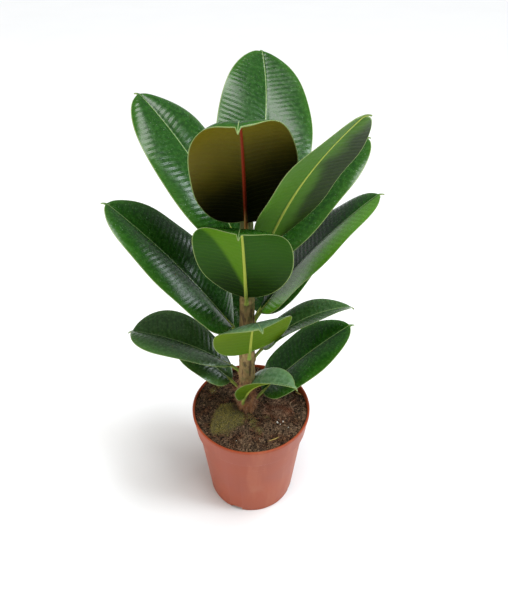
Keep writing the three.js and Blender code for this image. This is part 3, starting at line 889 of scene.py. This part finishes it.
def blade_points(leaf, start, number):
    """Rings round the blade, each across the upper face and back across the lower one."""
    t = 0.5 - 0.5 * np.cos(np.pi * np.arange(BLADE_ROWS + 1) / BLADE_ROWS)
    _, up, left = (v[:, None] for v in blade_frame(leaf, t))
    spine = midrib_path(leaf, start, t)[:, None]
    reach = half_width(leaf, t)[:, None]
    distance = (t * leaf["length"])[:, None]
    x = np.arange(-HALF_COLUMNS, HALF_COLUMNS + 1) / HALF_COLUMNS
    u = (x * x * (3 - 2 * np.abs(x)))[None]
    side = np.sign(x)[None]
    opening = (0.5 + 0.5 * np.minimum(1, 6 * t))[:, None]
    fold = np.where(x > 0, leaf["fold"][0], leaf["fold"][1])[None] * opening
    curl = np.where(x > 0, leaf["curl"][0], leaf["curl"][1])[None]
    chord = np.radians(fold + curl * u / 2)
    across = u * reach
    edge = np.radians(fold + curl * u) * smooth(across, 0, 3)
    place = (spine + (side * across * np.cos(chord))[..., None] * left
             + (across * np.sin(chord))[..., None] * up)
    normal = np.cos(edge)[..., None] * up - (side * np.sin(edge))[..., None] * left

    share = t[:, None]
    start_shift = 1.7 * number
    vein = 2 * np.pi * (distance - 0.30 * across) / VEIN_SPACING + 0.9 * np.sin(
        distance / 23 + side * 1.3 + start_shift)
    open_part = smooth(across, 2, 14) * smooth(reach - across, 0.5, 7)
    ripple = 0.11 * np.cos(vein) * open_part * smooth(share, 0.02, 0.1) * smooth(share, 0.98, 0.9)
    wave = 1.1 * np.sin(distance / 13 + start_shift + side) * u ** 3 * smooth(share, 0, 0.2)
    wave += 1.2 * np.sin(distance / 24 + 2 * start_shift - side) * u * (1 - u) * 4
    wave *= smooth(share, 1.0, 0.9)
    rib = 1 - share
    groove = -0.75 * hill(across, 2.4) * (0.35 + 0.65 * rib) + 0.45 * hill(across, 0.8)
    ridge = (0.5 + 1.5 * rib) * hill(across, 0.8 + 1.5 * rib)
    half = BLADE_THICKNESS / 2 * (1 - 0.55 * u ** 8)
    groove = np.where(reach < 5, 0, groove)
    upper = place + (half + groove + wave + ripple)[..., None] * normal
    lower = place + (wave + 0.4 * ripple - half - ridge)[..., None] * normal
    outward = side[..., None] * (np.cos(edge)[..., None] * left) + np.sin(edge)[..., None] * up
    margin = place + wave[..., None] * normal + 0.3 * outward
    columns = len(x)
    ring = np.concatenate([upper, margin[:, -1:], lower[:, ::-1], margin[:, :1]], axis=1)

    def spread_out(values):
        full = np.broadcast_to(values, (len(t), columns))
        return np.concatenate([full, full[:, -1:], full[:, ::-1], full[:, :1]], axis=1).ravel()

    lean = np.gradient(reach[:, 0], distance[:, 0])[:, None]
    rim = (reach - across) / np.sqrt(1 + (u * lean) ** 2)
    face = np.concatenate([np.ones(columns), [0.5], np.zeros(columns), [0.5]])
    values = {
        "side": np.tile(face, len(t)),
        "across": spread_out(side * across),
        "along": spread_out(distance),
        "rim": spread_out(rim),
        "vein": spread_out(vein),
        "rib_width": spread_out(0.7 + 1.1 * rib),
        "stalk": np.zeros(ring.shape[0] * ring.shape[1]),
    }
    return ring.reshape(-1, 3), ring.shape[1], values


def petiole_points(leaf, path):
    """The petiole's round stalk, which runs on under the blade as the root of the midrib."""
    stalk_rings, root_rings, root_share = 26, 12, 0.17
    fade = np.linspace(0, 1, root_rings)[1:]
    t = root_share * fade
    _, up, _ = blade_frame(leaf, t)
    under = midrib_path(leaf, path[-1], t) - up * (0.5 + 1.1 * fade)[:, None]
    inner = path[0] - unit(path[1] - path[0]) * 2.5
    stalk = smooth_path(np.vstack([inner, path]), stalk_rings)
    centres = np.vstack([stalk, under])
    rise = np.linspace(0, 1, stalk_rings)
    radii = np.concatenate([
        PETIOLE_RADIUS * (0.95 + 0.45 * hill(rise, 0.16) + 0.10 * hill(rise - 1, 0.15)),
        PETIOLE_RADIUS * (1 - 0.68 * fade)])
    sides = 16
    points = tube_points(centres, radii, sides)
    many = len(points)
    stalk_share = np.concatenate([np.ones(stalk_rings), 1 - smooth(fade, 0.1, 1)])
    distance = np.concatenate([np.linspace(-30, 0, stalk_rings), t * leaf["length"]])
    values = {
        "side": np.zeros(many),
        "across": np.zeros(many),
        "along": np.repeat(distance, sides),
        "rim": np.full(many, 50.0),
        "vein": np.zeros(many),
        "rib_width": np.full(many, 1.8),
        "stalk": np.repeat(stalk_share, sides),
    }
    return points, len(centres), sides, values


def make_leaf(name, values, number, material):
    leaf = {**LEAF_SHAPE, **values}
    path = petiole_path(leaf)
    blade, count, blade_values = blade_points(leaf, path[-1], number)
    stalk, rings, sides, stalk_values = petiole_points(leaf, path)
    faces = ring_faces(len(blade) // count, count, inward=True)
    faces += ring_faces(rings, sides, start=len(blade))
    merged = {key: np.concatenate([blade_values[key], stalk_values[key]]) for key in blade_values}
    piece_name = name.replace("leaf_", "blade_")
    make_piece(piece_name, np.vstack([blade, stalk]), faces, material, [name], merged)


def make_leaves():
    """Most leaves share one material, and those that look different have another; several of those
    carry painted light, shade or sheen.
    """
    mature = leaf_material("leaf_mature")
    # the underside runs from olive to near black towards the foot and one side, partly the young
    # leaf's own darker base and partly painted shade; its dark red midrib and reddish stalk are its
    # own colours
    young = leaf_material(
        "leaf_young",
        under=[(0.003, 0.004, 0.001), (0.140, 0.112, 0.004), (0.15, 0.13, 0.006)],
        rib=[(0.26, 0.38, 0.14), (0.20, 0.020, 0.006)], stalk=(0.42, 0.22, 0.07),
        painted_shade_span=(45, 190, 1, -0.75))
    # painted light shining through this leaf in a pale wedge, and painted shade towards its foot
    light = leaf_material(
        "leaf_painted_light", painted_light_wedge=0.34, painted_shade_span=(15, 95, 1, -0.2),
        under=[(0.005, 0.020, 0.001), (0.017, 0.074, 0.002), (0.100, 0.235, 0.005)])
    # painted shade: one half of this leaf's underside is light green, the other near black
    painted_half_shade = leaf_material(
        "leaf_painted_half_shade", painted_shade_span=(2, 26, 0, 1),
        under=[(0.055, 0.155, 0.006), (0.008, 0.024, 0.001), (0.12, 0.19, 0.010)])
    fresh = leaf_material(
        "leaf_fresh",
        top=[(0.075, 0.165, 0.065), (0.140, 0.25, 0.125), (0.20, 0.36, 0.14)],
        under=[(0.080, 0.16, 0.006), (0.18, 0.27, 0.010), (0.30, 0.42, 0.02)])
    # painted sheen: paler top greens stand in for the sheen on the lower leaves
    painted_sheen = leaf_material(
        "leaf_painted_sheen", top=[(0.024, 0.074, 0.012), (0.055, 0.130, 0.032), (0.09, 0.20, 0.04)])
    # painted sunlight on the right half of the upper face
    painted_sun = leaf_material("leaf_painted_sun", painted_sun=0.8)
    special = {
        "leaf_top_front": young, "leaf_middle_front": light, "leaf_upper_right": painted_half_shade,
        "leaf_lower_front": fresh, "leaf_lowest_front": fresh, "leaf_middle_right": painted_sun,
        "leaf_lower_left": painted_sheen, "leaf_lowest_left": painted_sheen, "leaf_lower_right": painted_sheen}
    for number, (name, values) in enumerate(LEAVES.items()):
        make_leaf(name, values, number, special.get(name, mature))


# ---- studio, in metres ----
FLOOR_HALF = 12.0
CAMERA_PLACE = (0.0042, -0.551, 0.787)
CAMERA_TILT = 52.5       # degrees up from straight down
CAMERA_LENS = 33.83
SENSOR_WIDTH = 36
WORLD_COLOUR = (0.93, 0.97, 1.0, 1)
WORLD_STRENGTH = 0.32
SUN_DIRECTION = (-0.16, 0.02, -1)
SUN_ANGLE = 30
SUN_STRENGTH = 2.5
LIT_POINT = (0, 0, 0.35)


def make_floor():
    half = FLOOR_HALF
    mesh = bpy.data.meshes.new("studio_floor")
    mesh.from_pydata([(-half, -half, 0), (half, -half, 0), (half, half, 0), (-half, half, 0)],
                     [], [(0, 1, 2, 3)])
    mesh.materials.append(floor_material())
    floor = bpy.data.objects.new("studio_floor", mesh)
    bpy.context.scene.collection.objects.link(floor)


def direction_to_turn(direction_of_light):
    return Vector(direction_of_light).to_track_quat("-Z", "Y").to_euler()


def add_light(name, place, target, size, power, colour=(1, 1, 1)):
    light = bpy.data.lights.new(name, "AREA")
    light.shape = "DISK"
    light.size = size
    light.energy = power
    light.color = colour
    lamp = bpy.data.objects.new(name, light)
    lamp.location = place
    lamp.rotation_euler = direction_to_turn(Vector(target) - Vector(place))
    bpy.context.scene.collection.objects.link(lamp)


def make_lights():
    world = bpy.data.worlds.new("studio")
    world.use_nodes = True
    background = world.node_tree.nodes["Background"]
    background.inputs["Color"].default_value = WORLD_COLOUR
    background.inputs["Strength"].default_value = WORLD_STRENGTH
    bpy.context.scene.world = world
    sun = bpy.data.lights.new("overhead", "SUN")
    sun.energy = SUN_STRENGTH
    sun.angle = math.radians(SUN_ANGLE)
    lamp = bpy.data.objects.new("overhead", sun)
    lamp.rotation_euler = direction_to_turn(SUN_DIRECTION)
    bpy.context.scene.collection.objects.link(lamp)
    add_light("right_light", (1.9, -0.5, 2.15), LIT_POINT, 0.8, 34, (0.86, 0.94, 1.0))
    add_light("back_light", (1.5, 1.3, 0.9), LIT_POINT, 0.5, 5, (0.88, 0.95, 1.0))
    add_light("left_light", (-1.7, -0.9, 1.2), LIT_POINT, 1.0, 14, (1.0, 0.93, 0.80))


def make_camera():
    camera = bpy.data.cameras.new("camera")
    camera.sensor_width = SENSOR_WIDTH
    camera.lens = CAMERA_LENS
    holder = bpy.data.objects.new("camera", camera)
    holder.location = CAMERA_PLACE
    holder.rotation_euler = (math.radians(CAMERA_TILT), 0, 0)
    bpy.context.scene.collection.objects.link(holder)
    bpy.context.scene.camera = holder


def main():
    bpy.context.scene.view_settings.view_transform = "Standard"
    make_camera()
    make_lights()
    make_floor()
    make_pot()
    peat = soil_material("peat", (0.010, 0.005, 0.003), (0.30, 0.19, 0.11), (0.26, 0.14, 0.08))
    rusty = soil_material("coir", (0.060, 0.028, 0.014), (0.52, 0.31, 0.19), (0.34, 0.17, 0.11))
    make_soil_surface(peat)
    make_soil_crumbs(peat)
    make_fibres("soil_fibres", peat, 3600, 31, (0, 0), SOIL_RADIUS, 5.5, 0.26, 2.4)
    make_fibres("soil_threads", rusty, 1800, 32, (0, 0), SOIL_RADIUS, 7.5, 0.17, 3.2)
    make_fibres("rusty_clod", rusty, 1300, 33, (38, -6), 20, 9, 0.36, 6)
    make_flakes()
    make_twigs()
    moss = moss_material()
    make_moss(moss)
    make_moss_tufts(moss)
    make_stem()
    make_stem_fibres(rusty)
    make_bud()
    make_leaves()


main()
